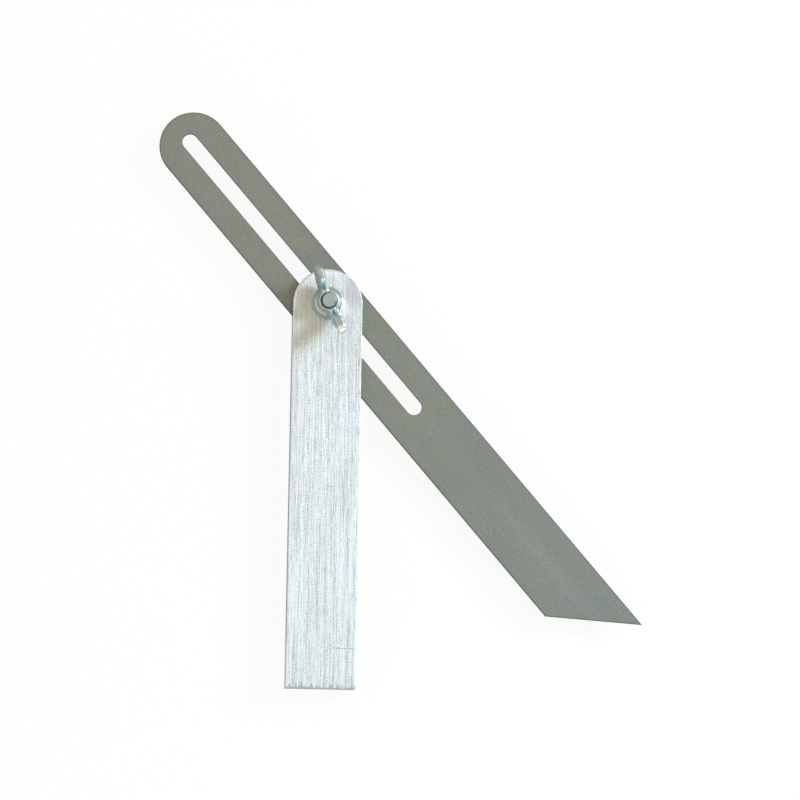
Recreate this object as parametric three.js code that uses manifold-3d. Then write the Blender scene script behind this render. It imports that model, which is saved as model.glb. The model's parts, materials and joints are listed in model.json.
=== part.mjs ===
// Sliding bevel: an aluminium stock, a slotted steel blade and one clamping bolt with a wing nut.
// Lengths are in millimetres. The tool lies flat on its back with the wing nut up.
// The origin is the centre of the stock's butt end, level with the middle of the blade's thickness.
// +Y runs along the stock to its round end.

import * as THREE from 'three';
import { mergeVertices } from 'three/addons/utils/BufferGeometryUtils.js';
import Module from 'manifold-3d';

// Blade: a flat strip with one half-round end, one slanted end and a long closed slot.
const bladeLength = 300;
const bladeWidth = 30;
const bladeThickness = 1.5;
const bladeTipAngle = THREE.MathUtils.degToRad(45);
const bladeSlotWidth = 7;
const bladeSlotStart = 9.1;
const bladeSlotLength = 158.3;

// The blade's setting: how far the bolt stands from the round end, and the opening angle.
const boltAlongBlade = 105.4;
const bladeAngle = THREE.MathUtils.degToRad(41.3);

// Stock: a bar with one half-round end, slit along its middle for the blade, solid at the butt.
const stockLength = 182;
const stockWidth = 30;
const stockThickness = 9;
const stockButtLength = 20;
const stockChamfer = 0.5;

// Clearances: beside the blade and the bolt's neck, round the shank in each piece that it passes.
const slidingGap = 0.3;
const neckHoleGap = 0.3;
const stockHoleGap = 0.3;
const washerHoleGap = 0.2;
const threadGap = 0.1;

// Carriage bolt: domed head, square neck that the blade's slot keeps from turning, round shank.
const shankDiameter = 6;
const boltHeadDiameter = 16;
const boltHeadHeight = 3.4;
const boltHeadRim = 0.5;
const boltEndChamfer = 0.7;
const boltProud = 3.3;
const neckInBladeShare = 0.6;

// Flat washer.
const washerDiameter = 14;
const washerThickness = 1.2;
const washerChamfer = 0.2;

// Wing nut: a tapered hub with two upright wings, turned to its own place on the thread.
const hubBaseDiameter = 11.4;
const hubTopDiameter = 8.8;
const hubHeight = 6.5;
const hubRim = 1.2;
const boreChamfer = 0.4;
const wingSpan = 31.5;
const wingHeight = 13.7;
const wingThickness = 3.5;
const wingEdge = 0.7;
const wingTipRadius = 2.6;
const wingKnobLength = 6.5;
const wingAngle = THREE.MathUtils.degToRad(23);

// Fineness of round shapes, and how far a cutting shape runs past what it cuts.
const arcSteps = 40;
const turnSteps = 64;
const edgeSteps = 2;
const cutOverrun = 2;

// Sizes that follow from the ones above.
const pivotY = stockLength / 2 - stockWidth / 2;
const stockSlotHeight = bladeThickness + 2 * slidingGap;
const cheekThickness = (stockThickness - stockSlotHeight) / 2;
const bladeUnderside = cheekThickness + slidingGap;
const shankRadius = shankDiameter / 2;
const neckWidth = bladeSlotWidth - 2 * slidingGap;
const neckLength = bladeUnderside + bladeThickness * neckInBladeShare;
const neckHoleRadius = neckWidth / Math.SQRT2 + neckHoleGap;
const stockHoleRadius = shankRadius + stockHoleGap;
const washerHoleRadius = shankRadius + washerHoleGap;
const nutBoreRadius = shankRadius + threadGap;
const nutUnderside = stockThickness + washerThickness;
const boltEnd = nutUnderside + hubHeight + boltProud;

const wasm = await Module();
wasm.setup();

// Solids are joined and cut as closed meshes whose shared corners are merged.
function toSolid(geometry) {
  const bare = geometry.clone();
  bare.deleteAttribute('normal');
  bare.deleteAttribute('uv');
  const merged = mergeVertices(bare);
  const vertProperties = new Float32Array(merged.attributes.position.array);
  const triVerts = new Uint32Array(merged.index.array);
  return new wasm.Manifold(new wasm.Mesh({ numProp: 3, vertProperties, triVerts }));
}

function toGeometry(solid) {
  const { vertProperties, triVerts } = solid.getMesh();
  const geometry = new THREE.BufferGeometry();
  geometry.setAttribute('position', new THREE.BufferAttribute(vertProperties, 3));
  geometry.setIndex(new THREE.BufferAttribute(triVerts, 1));
  geometry.computeVertexNormals();
  return geometry;
}

// A box given by its lowest and highest corners.
function boxBetween(low, high) {
  const geometry = new THREE.BoxGeometry(high[0] - low[0], high[1] - low[1], high[2] - low[2]);
  geometry.translate((low[0] + high[0]) / 2, (low[1] + high[1]) / 2, (low[2] + high[2]) / 2);
  return geometry;
}

// A shape turned about Z from a profile of [radius, height] pairs.
function turned(profile) {
  const points = profile.map(([radius, height]) => new THREE.Vector2(radius, height));
  const geometry = new THREE.LatheGeometry(points, turnSteps);
  geometry.rotateX(Math.PI / 2);
  return geometry;
}

// A straight round cutter between two heights.
function roundCutter(radius, low, high) {
  return turned([[0, low], [radius, low], [radius, high], [0, high]]);
}

function metal(color, roughness) {
  return new THREE.MeshStandardMaterial({ color, roughness, metalness: 1 });
}

function named(name, geometry, material) {
  const mesh = new THREE.Mesh(geometry, material);
  mesh.name = name;
  return mesh;
}

// Stock, drawn about its own middle with its back face at height zero.
function makeStock() {
  const half = stockWidth / 2;
  const butt = -stockLength / 2;
  const outline = new THREE.Shape();
  outline.moveTo(-half, butt - cutOverrun);
  outline.lineTo(half, butt - cutOverrun);
  outline.lineTo(half, pivotY);
  outline.absarc(0, pivotY, half, 0, Math.PI, false);
  outline.closePath();
  const bar = new THREE.ExtrudeGeometry(outline, {
    depth: stockThickness - 2 * stockChamfer,
    curveSegments: arcSteps,
    bevelSize: stockChamfer,
    bevelThickness: stockChamfer,
    bevelOffset: -stockChamfer,
    bevelSegments: 1,
  });
  bar.translate(0, 0, stockChamfer);

  // The butt is sawn square, so the chamfer stops at its edges.
  const sawnOff = boxBetween(
    [-half - cutOverrun, butt - 2 * cutOverrun, -cutOverrun],
    [half + cutOverrun, butt, stockThickness + cutOverrun],
  );
  const slot = boxBetween(
    [-half - cutOverrun, butt + stockButtLength, cheekThickness],
    [half + cutOverrun, stockLength / 2 + cutOverrun, cheekThickness + stockSlotHeight],
  );
  const backHole = roundCutter(neckHoleRadius, -cutOverrun, cheekThickness + stockSlotHeight / 2);
  const frontHole = roundCutter(stockHoleRadius, stockThickness / 2, stockThickness + cutOverrun);
  backHole.translate(0, pivotY, 0);
  frontHole.translate(0, pivotY, 0);

  const solid = toSolid(bar)
    .subtract(toSolid(sawnOff))
    .subtract(toSolid(slot))
    .subtract(toSolid(backHole))
    .subtract(toSolid(frontHole));
  return named('stock', toGeometry(solid), metal(0xd9dde0, 0.38));
}

// Blade, drawn with the bolt's axis at zero and its slanted tip towards negative Y.
function makeBlade() {
  const half = bladeWidth / 2;
  const slotHalf = bladeSlotWidth / 2;
  const roundCentre = boltAlongBlade - half;
  const tip = boltAlongBlade - bladeLength;
  const heel = tip + bladeWidth / Math.tan(bladeTipAngle);
  const outline = new THREE.Shape();
  outline.moveTo(half, tip);
  outline.lineTo(half, roundCentre);
  outline.absarc(0, roundCentre, half, 0, Math.PI, false);
  outline.lineTo(-half, heel);
  outline.closePath();

  const slotTop = boltAlongBlade - bladeSlotStart - slotHalf;
  const slotBottom = boltAlongBlade - bladeSlotStart - bladeSlotLength + slotHalf;
  const slot = new THREE.Path();
  slot.moveTo(slotHalf, slotBottom);
  slot.lineTo(slotHalf, slotTop);
  slot.absarc(0, slotTop, slotHalf, 0, Math.PI, false);
  slot.lineTo(-slotHalf, slotBottom);
  slot.absarc(0, slotBottom, slotHalf, Math.PI, 2 * Math.PI, false);
  outline.holes.push(slot);

  const plate = new THREE.ExtrudeGeometry(outline, {
    depth: bladeThickness,
    curveSegments: arcSteps,
    bevelEnabled: false,
  });
  plate.translate(0, 0, bladeUnderside);
  return named('blade', toGeometry(toSolid(plate)), metal(0x8d938a, 0.45));
}

// Carriage bolt: its head bears on the stock's back face at height zero.
function makeBolt() {
  const headRadius = boltHeadDiameter / 2;
  const domeHeight = boltHeadHeight - boltHeadRim;
  const domeRadius = (headRadius ** 2 + domeHeight ** 2) / (2 * domeHeight);
  const domeSweep = Math.asin(headRadius / domeRadius);
  const domeSteps = arcSteps / 4;
  const profile = [[0, -boltHeadHeight]];
  for (let step = 1; step <= domeSteps; step += 1) {
    const angle = (domeSweep * step) / domeSteps;
    const drop = domeRadius * (1 - Math.cos(angle));
    profile.push([domeRadius * Math.sin(angle), drop - boltHeadHeight]);
  }
  profile.push(
    [headRadius, 0],
    [shankRadius, 0],
    [shankRadius, boltEnd - boltEndChamfer],
    [shankRadius - boltEndChamfer, boltEnd],
    [0, boltEnd],
  );
  const neckHalf = neckWidth / 2;
  const neck = boxBetween([-neckHalf, -neckHalf, -boltHeadRim], [neckHalf, neckHalf, neckLength]);
  const solid = toSolid(turned(profile)).add(toSolid(neck));
  return named('carriage_bolt', toGeometry(solid), metal(0xaab4b6, 0.3));
}

// Flat washer on the stock's front face, with its upper outer edge broken.
function makeWasher() {
  const radius = washerDiameter / 2;
  const top = stockThickness + washerThickness;
  const ring = turned([
    [washerHoleRadius, stockThickness],
    [radius, stockThickness],
    [radius, top - washerChamfer],
    [radius - washerChamfer, top],
    [washerHoleRadius, top],
    [washerHoleRadius, stockThickness],
  ]);
  return named('flat_washer', toGeometry(toSolid(ring)), metal(0xb4bcbd, 0.35));
}

// One wing, drawn upright along +X: it climbs steeply from the hub to a level knob at its end.
function wingGeometry() {
  const reach = wingSpan / 2 - wingEdge;
  const top = wingHeight - wingEdge;
  const baseRadius = hubBaseDiameter / 2 - wingEdge;
  const shoulder = hubHeight - wingEdge;
  const tipX = reach - wingTipRadius;
  const tipZ = top - wingTipRadius;
  const waistX = baseRadius + (tipX - baseRadius) / 2;
  const rootX = hubTopDiameter / 2;
  const knobX = reach - wingKnobLength;
  const slopeX = (rootX + knobX) / 2;
  const outline = new THREE.Shape();
  outline.moveTo(0, hubRim);
  outline.lineTo(baseRadius, hubRim);
  outline.quadraticCurveTo(waistX, hubRim, reach, tipZ);
  outline.absarc(tipX, tipZ, wingTipRadius, 0, Math.PI / 2, false);
  outline.lineTo(knobX, top);
  outline.bezierCurveTo(slopeX, top, slopeX, shoulder, rootX, shoulder);
  outline.lineTo(0, shoulder);
  outline.closePath();
  const wing = new THREE.ExtrudeGeometry(outline, {
    depth: wingThickness - 2 * wingEdge,
    curveSegments: arcSteps / 4,
    bevelSize: wingEdge,
    bevelThickness: wingEdge,
    bevelSegments: edgeSteps,
  });
  wing.translate(0, 0, wingEdge - wingThickness / 2);
  wing.rotateX(Math.PI / 2);
  return wing;
}

// Wing nut, drawn with its underside at height zero and its wings along X.
function makeWingNut() {
  const hub = turned([
    [0, 0],
    [hubBaseDiameter / 2, 0],
    [hubBaseDiameter / 2, hubRim],
    [hubTopDiameter / 2, hubHeight],
    [0, hubHeight],
  ]);
  const farWing = wingGeometry();
  farWing.rotateZ(Math.PI);
  const bore = turned([
    [0, -cutOverrun],
    [nutBoreRadius, -cutOverrun],
    [nutBoreRadius, hubHeight - boreChamfer],
    [nutBoreRadius + boreChamfer, hubHeight],
    [nutBoreRadius + boreChamfer, wingHeight + cutOverrun],
    [0, wingHeight + cutOverrun],
  ]);
  const solid = toSolid(hub)
    .add(toSolid(wingGeometry()))
    .add(toSolid(farWing))
    .subtract(toSolid(bore));
  return named('wing_nut', toGeometry(solid), metal(0xa7b3b5, 0.28));
}

// The bolt turns with the blade about the pivot, and the nut stands at its own angle.
const pivot = new THREE.Group();
pivot.position.y = pivotY;
const swing = new THREE.Group();
swing.rotation.z = bladeAngle;
swing.add(makeBlade(), makeBolt());
const wingNut = makeWingNut();
wingNut.position.z = nutUnderside;
wingNut.rotation.z = Math.PI / 2 + wingAngle;
pivot.add(swing, makeWasher(), wingNut);

// The whole tool is moved so that the centre of its butt end is the origin.
const bevel = new THREE.Group();
bevel.position.set(0, stockLength / 2, -stockThickness / 2);
bevel.add(makeStock(), pivot);

export default bevel;
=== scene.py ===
import json
import math

import bmesh
import bpy
from mathutils import Matrix, Vector, noise


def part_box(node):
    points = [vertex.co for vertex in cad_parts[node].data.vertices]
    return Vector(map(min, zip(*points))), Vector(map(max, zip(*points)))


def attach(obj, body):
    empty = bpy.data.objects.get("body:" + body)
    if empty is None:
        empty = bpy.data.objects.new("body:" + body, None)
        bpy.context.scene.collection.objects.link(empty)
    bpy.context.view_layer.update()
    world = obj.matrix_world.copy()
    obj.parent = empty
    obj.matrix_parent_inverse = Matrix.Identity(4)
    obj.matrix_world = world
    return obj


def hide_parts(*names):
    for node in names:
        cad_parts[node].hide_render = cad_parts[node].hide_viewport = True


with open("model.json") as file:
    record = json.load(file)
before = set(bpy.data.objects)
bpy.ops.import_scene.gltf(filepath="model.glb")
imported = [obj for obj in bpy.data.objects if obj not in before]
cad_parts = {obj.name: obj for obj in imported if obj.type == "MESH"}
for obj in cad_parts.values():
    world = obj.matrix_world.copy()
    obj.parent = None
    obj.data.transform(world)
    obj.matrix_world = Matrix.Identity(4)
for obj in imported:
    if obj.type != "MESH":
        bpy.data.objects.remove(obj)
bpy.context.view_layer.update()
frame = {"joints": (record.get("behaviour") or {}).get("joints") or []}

# Sliding bevel: a brushed aluminium stock, a satin steel blade and zinc plated fasteners.
# Lengths are in metres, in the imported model's own frame: +Y along the stock, +Z out of its front.

MM = 0.001

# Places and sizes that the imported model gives.
JOINTS = {joint["name"]: joint for joint in frame["joints"]}
PIVOT = Vector(JOINTS["blade_swing"]["pos_m"])
BLADE_ALONG = Vector(JOINTS["blade_slide"]["axis"]).normalized()
BLADE_TURN = math.atan2(BLADE_ALONG.x, -BLADE_ALONG.y)
STOCK_LOW, STOCK_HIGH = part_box("stock")
BLADE_LOW, BLADE_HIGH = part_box("blade")
WASHER_LOW, WASHER_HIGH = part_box("flat_washer")
BOLT_LOW, BOLT_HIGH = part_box("carriage_bolt")
NUT_LOW, NUT_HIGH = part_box("wing_nut")
BACK, FRONT = STOCK_LOW.z, STOCK_HIGH.z
BUTT = STOCK_LOW.y

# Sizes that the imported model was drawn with.
BLADE_LENGTH = 300 * MM
BLADE_WIDTH = 30 * MM
BLADE_SLOT_WIDTH = 7 * MM
BLADE_SLOT_START = 9.1 * MM
BLADE_SLOT_LENGTH = 158.3 * MM
BOLT_ALONG_BLADE = 105.4 * MM
STOCK_BUTT = 20 * MM
SLIDING_GAP = 0.3 * MM
NECK_WIDTH = BLADE_SLOT_WIDTH - 2 * SLIDING_GAP
NECK_IN_BLADE_SHARE = 0.6
NECK_TOP = BLADE_LOW.z + NECK_IN_BLADE_SHARE * (BLADE_HIGH.z - BLADE_LOW.z)
NECK_HOLE_RADIUS = NECK_WIDTH / math.sqrt(2) + SLIDING_GAP
STOCK_HOLE_RADIUS = 3.3 * MM
WASHER_HOLE_RADIUS = 3.2 * MM
SHANK_RADIUS = 3 * MM
HEAD_RIM = 0.5 * MM
WING_SPAN = 31.5 * MM
WING_TURN = math.radians(90 + 23)
HUB_BASE_RADIUS = 5.7 * MM
HUB_TOP_RADIUS = 4.4 * MM
HUB_HEIGHT = 6.5 * MM

# How finely round shapes are cut up, and the angle in degrees from which an edge is sharp.
RING_STEPS = 96
HALF_ROUND_STEPS = 96
SHARP_ANGLE = 30


# Meshes

def shade(mesh, sharp_angle):
    mesh.shade_smooth()
    mesh.set_sharp_from_angle(angle=math.radians(sharp_angle))


def link(name, bm, sharp_angle=SHARP_ANGLE):
    """Turns a bmesh into a linked object whose edges are sharp above an angle in degrees."""
    bmesh.ops.recalc_face_normals(bm, faces=bm.faces)
    mesh = bpy.data.meshes.new(name)
    bm.to_mesh(mesh)
    bm.free()
    shade(mesh, sharp_angle)
    piece = bpy.data.objects.new(name, mesh)
    bpy.context.scene.collection.objects.link(piece)
    return piece


def settle(piece, place, turn=0.0):
    """Turns a piece's mesh about Z and moves it to its place. The object itself stays at the origin."""
    piece.data.transform(Matrix.Translation(place) @ Matrix.Rotation(turn, 4, "Z"))


def apply_modifiers(piece):
    """Bakes a piece's modifiers into its mesh."""
    graph = bpy.context.evaluated_depsgraph_get()
    mesh = bpy.data.meshes.new_from_object(piece.evaluated_get(graph))
    piece.modifiers.clear()
    old = piece.data
    piece.data = mesh
    bpy.data.meshes.remove(old)


def combine(piece, operation, other):
    """Joins or cuts a piece with a helper body, which is then removed."""
    step = piece.modifiers.new(other.name, "BOOLEAN")
    step.operation = operation
    step.object = other
    apply_modifiers(piece)
    bpy.data.objects.remove(other)


def miter(points, index):
    """The outward direction at a corner of an anticlockwise outline, as long as its miter needs."""
    before, here, after = points[index - 1], points[index], points[(index + 1) % len(points)]
    first = (here - before).normalized()
    second = (after - here).normalized()
    normal_a = Vector((first.y, -first.x))
    normal_b = Vector((second.y, -second.x))
    return (normal_a + normal_b) / (1 + normal_a.dot(normal_b))


def loop_at(bm, points, height):
    """A ring of vertices over 2D points. height is one value or one for each point."""
    heights = height if isinstance(height, list) else [height] * len(points)
    return [bm.verts.new((p.x, p.y, h)) for p, h in zip(points, heights)]


def bridge(bm, low, high, material=0, span=None):
    """Quads between two rings of as many vertices, all round or only for the steps in span."""
    for i in range(len(low)) if span is None else span:
        j = (i + 1) % len(low)
        face = bm.faces.new((low[i], low[j], high[j], high[i]))
        face.material_index = material


def stack(bm, loops):
    """Bridges each ring to the next, and closes the first and the last with a flat face."""
    for low, high in zip(loops, loops[1:]):
        bridge(bm, low, high)
    bm.faces.new(list(reversed(loops[0])))
    bm.faces.new(loops[-1])


def cap(bm, loops, material):
    """A flat face inside the first ring and outside the others, as triangles."""
    edges = []
    for loop in loops:
        for i, vert in enumerate(loop):
            other = loop[(i + 1) % len(loop)]
            edges.append(bm.edges.get((vert, other)) or bm.edges.new((vert, other)))
    made = bmesh.ops.triangle_fill(bm, use_beauty=True, use_dissolve=False, edges=edges)
    for item in made["geom"]:
        if isinstance(item, bmesh.types.BMFace):
            item.material_index = material


def arc(centre, radius, start, end, steps):
    """Points on an arc, both ends included. Angles are in radians."""
    angles = [start + (end - start) * i / steps for i in range(steps + 1)]
    return [centre + radius * Vector((math.cos(a), math.sin(a))) for a in angles]


def straight(start, end, steps):
    """Points on a line, both ends included."""
    return [start.lerp(end, i / steps) for i in range(steps + 1)]


def circle(centre, radius, steps):
    return arc(centre, radius, 0, 2 * math.pi, steps)[:-1]


def wobble(p, seed, scale):
    """Smooth noise from about -1 to 1, with one swell every scale metres."""
    return noise.noise(Vector((p.x / scale, p.y / scale, seed)))


def clamp(value):
    return max(0.0, min(1.0, value))


def smooth_step(value):
    value = clamp(value)
    return value * value * (3 - 2 * value)


def rings(name, levels, sharp_angle=SHARP_ANGLE):
    """A closed body from rings about Z. A level is (height, radius or a function of the angle)."""
    bm = bmesh.new()
    made = []
    for height, radius in levels:
        at = radius if callable(radius) else (lambda angle, value=radius: value)
        loop = []
        for i in range(RING_STEPS):
            angle = 2 * math.pi * i / RING_STEPS
            loop.append(bm.verts.new((at(angle) * math.cos(angle), at(angle) * math.sin(angle), height)))
        made.append(loop)
    stack(bm, made)
    return link(name, bm, sharp_angle)


# Stock

STOCK_FACE, STOCK_WALL, STOCK_FILED, STOCK_SAWN, STOCK_SLIT = range(5)
STOCK_BUTT_STEPS = 12
STOCK_SIDE_STEPS = 60
STOCK_SAWN_STEPS = 90
STOCK_HOLE_STEPS = 64

# The filed chamfer is narrow on the sides, wide on the round end, and wavy.
SIDE_CHAMFER = 0.25 * MM
ROUND_CHAMFER = 0.95 * MM
ROUND_CHAMFER_BLEND = 6 * MM
CHAMFER_WALL_SHARE = 0.62
ROUND_RIPPLE_SHARE = 0.5
SIDE_RIPPLE_SHARE = 0.3
RIPPLE_SIZE = 1.3 * MM
FINE_RIPPLE_SIZE = 0.45 * MM
FINE_RIPPLE_SHARE = 0.6
FINE_RIPPLE_SEED = 9
BACK_SEED, FRONT_SEED = 1.5, 7.5

# The sawn butt's edge is ragged: its least width, and what a full ripple adds to it.
BUTT_EDGE = 0.22 * MM
BUTT_LEAST_SHARE = 0.5
BUTT_RIPPLE_SHARE = 0.8


def stock_outline():
    """The outline's points, anticlockwise from the butt's right corner, and the left corner's index."""
    half = STOCK_HIGH.x
    slit_end = BUTT + STOCK_BUTT
    centre = PIVOT.to_2d()
    points = straight(Vector((half, BUTT)), Vector((half, slit_end)), STOCK_BUTT_STEPS)[:-1]
    points += straight(Vector((half, slit_end)), Vector((half, centre.y)), STOCK_SIDE_STEPS)[:-1]
    points += arc(centre, half, 0, math.pi, HALF_ROUND_STEPS)
    points += straight(Vector((-half, centre.y)), Vector((-half, slit_end)), STOCK_SIDE_STEPS)[1:]
    points += straight(Vector((-half, slit_end)), Vector((-half, BUTT)), STOCK_BUTT_STEPS)[1:]
    left_corner = len(points) - 1
    points += straight(Vector((-half, BUTT)), Vector((half, BUTT)), STOCK_SAWN_STEPS)[1:-1]
    return points, left_corner


def stock_chamfer(p, seed, sawn):
    """How far the front or back face stops short of the outline at a point, and how far the wall does."""
    ripple = wobble(p, seed, RIPPLE_SIZE)
    ripple += FINE_RIPPLE_SHARE * wobble(p, seed + FINE_RIPPLE_SEED, FINE_RIPPLE_SIZE)
    if sawn:
        size = BUTT_EDGE * (BUTT_LEAST_SHARE + BUTT_RIPPLE_SHARE * abs(ripple))
        return size, size
    half = STOCK_HIGH.x
    on_round = smooth_step((p.y - PIVOT.y + ROUND_CHAMFER_BLEND) / ROUND_CHAMFER_BLEND)
    on_round *= smooth_step((half - p.x) / half)
    size = SIDE_CHAMFER + on_round * (ROUND_CHAMFER - SIDE_CHAMFER)
    size *= 1 + ROUND_RIPPLE_SHARE * ripple * (SIDE_RIPPLE_SHARE + (1 - SIDE_RIPPLE_SHARE) * on_round)
    return size, size * CHAMFER_WALL_SHARE


def make_stock():
    """Cheeks, butt and slit as one closed body."""
    points, left_corner = stock_outline()
    slit_right, slit_left = STOCK_BUTT_STEPS, left_corner - STOCK_BUTT_STEPS
    slit_low = BLADE_LOW.z - SLIDING_GAP
    slit_high = BLADE_HIGH.z + SLIDING_GAP

    bm = bmesh.new()
    face_loops, wall_loops = [], []
    for seed, face_z, inward in ((BACK_SEED, BACK, 1), (FRONT_SEED, FRONT, -1)):
        sizes = [stock_chamfer(p, seed, i == 0 or i >= left_corner) for i, p in enumerate(points)]
        inset = [p - miter(points, i) * sizes[i][0] for i, p in enumerate(points)]
        face_loops.append(loop_at(bm, inset, face_z))
        wall_loops.append(loop_at(bm, points, [face_z + inward * size[1] for size in sizes]))
    low_slit = loop_at(bm, points, slit_low)
    high_slit = loop_at(bm, points, slit_high)
    sides = range(left_corner)
    sawn = range(left_corner, len(points))
    solid_sides = [i for i in sides if i < slit_right or i >= slit_left]
    for low, high in ((wall_loops[0], low_slit), (high_slit, wall_loops[1])):
        bridge(bm, low, high, STOCK_WALL, sides)
        bridge(bm, low, high, STOCK_SAWN, sawn)
    bridge(bm, low_slit, high_slit, STOCK_WALL, solid_sides)
    bridge(bm, low_slit, high_slit, STOCK_SAWN, sawn)
    for low, high in ((face_loops[0], wall_loops[0]), (wall_loops[1], face_loops[1])):
        bridge(bm, low, high, STOCK_FILED, sides)
        bridge(bm, low, high, STOCK_SAWN, sawn)

    # The bolt's holes, and the front and back faces round them.
    neck_hole = circle(PIVOT.to_2d(), NECK_HOLE_RADIUS, STOCK_HOLE_STEPS)
    shank_hole = circle(PIVOT.to_2d(), STOCK_HOLE_RADIUS, STOCK_HOLE_STEPS)
    back_out, back_in = loop_at(bm, neck_hole, BACK), loop_at(bm, neck_hole, slit_low)
    front_in, front_out = loop_at(bm, shank_hole, slit_high), loop_at(bm, shank_hole, FRONT)
    bridge(bm, back_out, back_in, STOCK_WALL)
    bridge(bm, front_in, front_out, STOCK_WALL)
    cap(bm, [face_loops[0], back_out], STOCK_FACE)
    cap(bm, [face_loops[1], front_out], STOCK_FACE)

    # The slit's two faces and its closed end.
    slit_span = slice(slit_right, slit_left + 1)
    cap(bm, [low_slit[slit_span], back_in], STOCK_SLIT)
    cap(bm, [high_slit[slit_span], front_in], STOCK_SLIT)
    corners = (low_slit[slit_left], low_slit[slit_right], high_slit[slit_right], high_slit[slit_left])
    bm.faces.new(corners).material_index = STOCK_SLIT
    return link("stock_bar", bm)


# Blade, drawn along its own length and then turned to its rest place. Its skin keeps it inside the CAD.

BLADE_FACE, BLADE_WALL = range(2)
BLADE_EDGE = 0.18 * MM
BLADE_SKIN = 0.01 * MM
BLADE_SIDE_STEPS = 40
BLADE_TIP_STEPS = 8
SLOT_ROUND_STEPS = 32


def blade_outlines():
    """The outlines of the blade and its slot, both anticlockwise, with the bolt at the origin."""
    half = BLADE_WIDTH / 2
    slot_half = BLADE_SLOT_WIDTH / 2
    round_centre = Vector((0, BOLT_ALONG_BLADE - half))
    tip_y = BOLT_ALONG_BLADE - BLADE_LENGTH
    tip, heel = Vector((half, tip_y)), Vector((-half, tip_y + BLADE_WIDTH))
    outline = straight(tip, Vector((half, round_centre.y)), BLADE_SIDE_STEPS)[:-1]
    outline += arc(round_centre, half, 0, math.pi, HALF_ROUND_STEPS)
    outline += straight(Vector((-half, round_centre.y)), heel, BLADE_SIDE_STEPS)[1:]
    outline += straight(heel, tip, BLADE_TIP_STEPS)[1:-1]
    outline = [p - miter(outline, i) * BLADE_SKIN for i, p in enumerate(outline)]
    slot_top = Vector((0, BOLT_ALONG_BLADE - BLADE_SLOT_START - slot_half))
    slot_low = Vector((0, slot_top.y - BLADE_SLOT_LENGTH + BLADE_SLOT_WIDTH))
    slot = arc(slot_low, slot_half, math.pi, 2 * math.pi, SLOT_ROUND_STEPS)
    slot += arc(slot_top, slot_half, 0, math.pi, SLOT_ROUND_STEPS)
    return outline, slot


def make_blade():
    outline, slot = blade_outlines()
    thickness = BLADE_HIGH.z - BLADE_LOW.z
    bm = bmesh.new()
    caps = []
    for points, side in ((outline, -1), (slot, 1)):
        inset = [p + miter(points, i) * side * BLADE_EDGE for i, p in enumerate(points)]
        face_low, wall_low = loop_at(bm, inset, 0.0), loop_at(bm, points, BLADE_EDGE)
        wall_high, face_high = loop_at(bm, points, thickness - BLADE_EDGE), loop_at(bm, inset, thickness)
        bridge(bm, face_low, wall_low, BLADE_WALL)
        bridge(bm, wall_low, wall_high, BLADE_WALL)
        bridge(bm, wall_high, face_high, BLADE_WALL)
        caps.append((face_low, face_high))
    cap(bm, [caps[0][0], caps[1][0]], BLADE_FACE)
    cap(bm, [caps[0][1], caps[1][1]], BLADE_FACE)
    piece = link("blade_strip", bm)
    settle(piece, Vector((PIVOT.x, PIVOT.y, BLADE_LOW.z)), BLADE_TURN)
    return piece


# Thread of the bolt and the nut. The shares are of half a turn, from the root's middle to the crest's.

THREAD_PITCH = 1 * MM
THREAD_DEPTH = 0.61 * MM
THREAD_ROOT_SHARE = 0.16
THREAD_FLANK_SHARE = 0.6
THREAD_RING_SPACING = THREAD_PITCH / 14


def thread_shape(angle, height):
    """From 0 in the thread's root to 1 on its crest, with flats on both."""
    turn = (height / THREAD_PITCH - angle / (2 * math.pi)) % 1
    return clamp((abs(turn - 0.5) * 2 - THREAD_ROOT_SHARE) / THREAD_FLANK_SHARE)


# Carriage bolt

DOME_STEPS = 24
HEAD_EDGE = 0.12 * MM
NECK_CORNER_RADIUS = NECK_WIDTH / 2 * 1.33
NECK_FILLET = 0.15 * MM
NECK_END_TAPER = 0.35 * MM
NECK_END_RADIUS = SHANK_RADIUS + 0.2 * MM
SHANK_FOOT_RADIUS = SHANK_RADIUS - 0.05 * MM
SHANK_END_RADIUS = SHANK_RADIUS - 0.75 * MM
SHANK_END_EDGE = 0.12 * MM
BOLT_THREAD_START = NECK_TOP + 0.6 * MM
BOLT_CREST_RADIUS = SHANK_RADIUS - 0.02 * MM
BOLT_SHARP_ANGLE = 35


def head_levels():
    """The domed head, from close to the middle of the dome to the flat face that meets the stock."""
    head_radius = (BOLT_HIGH.x - BOLT_LOW.x) / 2
    dome = BACK - BOLT_LOW.z - HEAD_RIM
    dome_radius = (head_radius ** 2 + dome ** 2) / (2 * dome)
    sweep = math.asin(head_radius / dome_radius)
    levels = []
    for i in range(1, DOME_STEPS + 1):
        angle = sweep * i / DOME_STEPS
        levels.append((BOLT_LOW.z + dome_radius * (1 - math.cos(angle)), dome_radius * math.sin(angle)))
    levels += [
        (BACK - HEAD_RIM / 2, head_radius),
        (BACK - HEAD_EDGE, head_radius),
        (BACK - HEAD_EDGE / 3, head_radius - HEAD_EDGE / 3),
        (BACK, head_radius - HEAD_EDGE),
    ]
    return levels


def neck_radius(angle):
    """How far the square neck reaches in a direction, with its corners cut round."""
    square = NECK_WIDTH / 2 / max(abs(math.cos(angle)), abs(math.sin(angle)))
    return min(square, NECK_CORNER_RADIUS)


def neck_levels():
    return [
        (BACK, lambda angle: neck_radius(angle) + NECK_FILLET),
        (BACK + NECK_FILLET, neck_radius),
        (NECK_TOP - NECK_END_TAPER, neck_radius),
        (NECK_TOP, lambda angle: min(neck_radius(angle), NECK_END_RADIUS)),
        (NECK_TOP, SHANK_FOOT_RADIUS),
    ]


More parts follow.
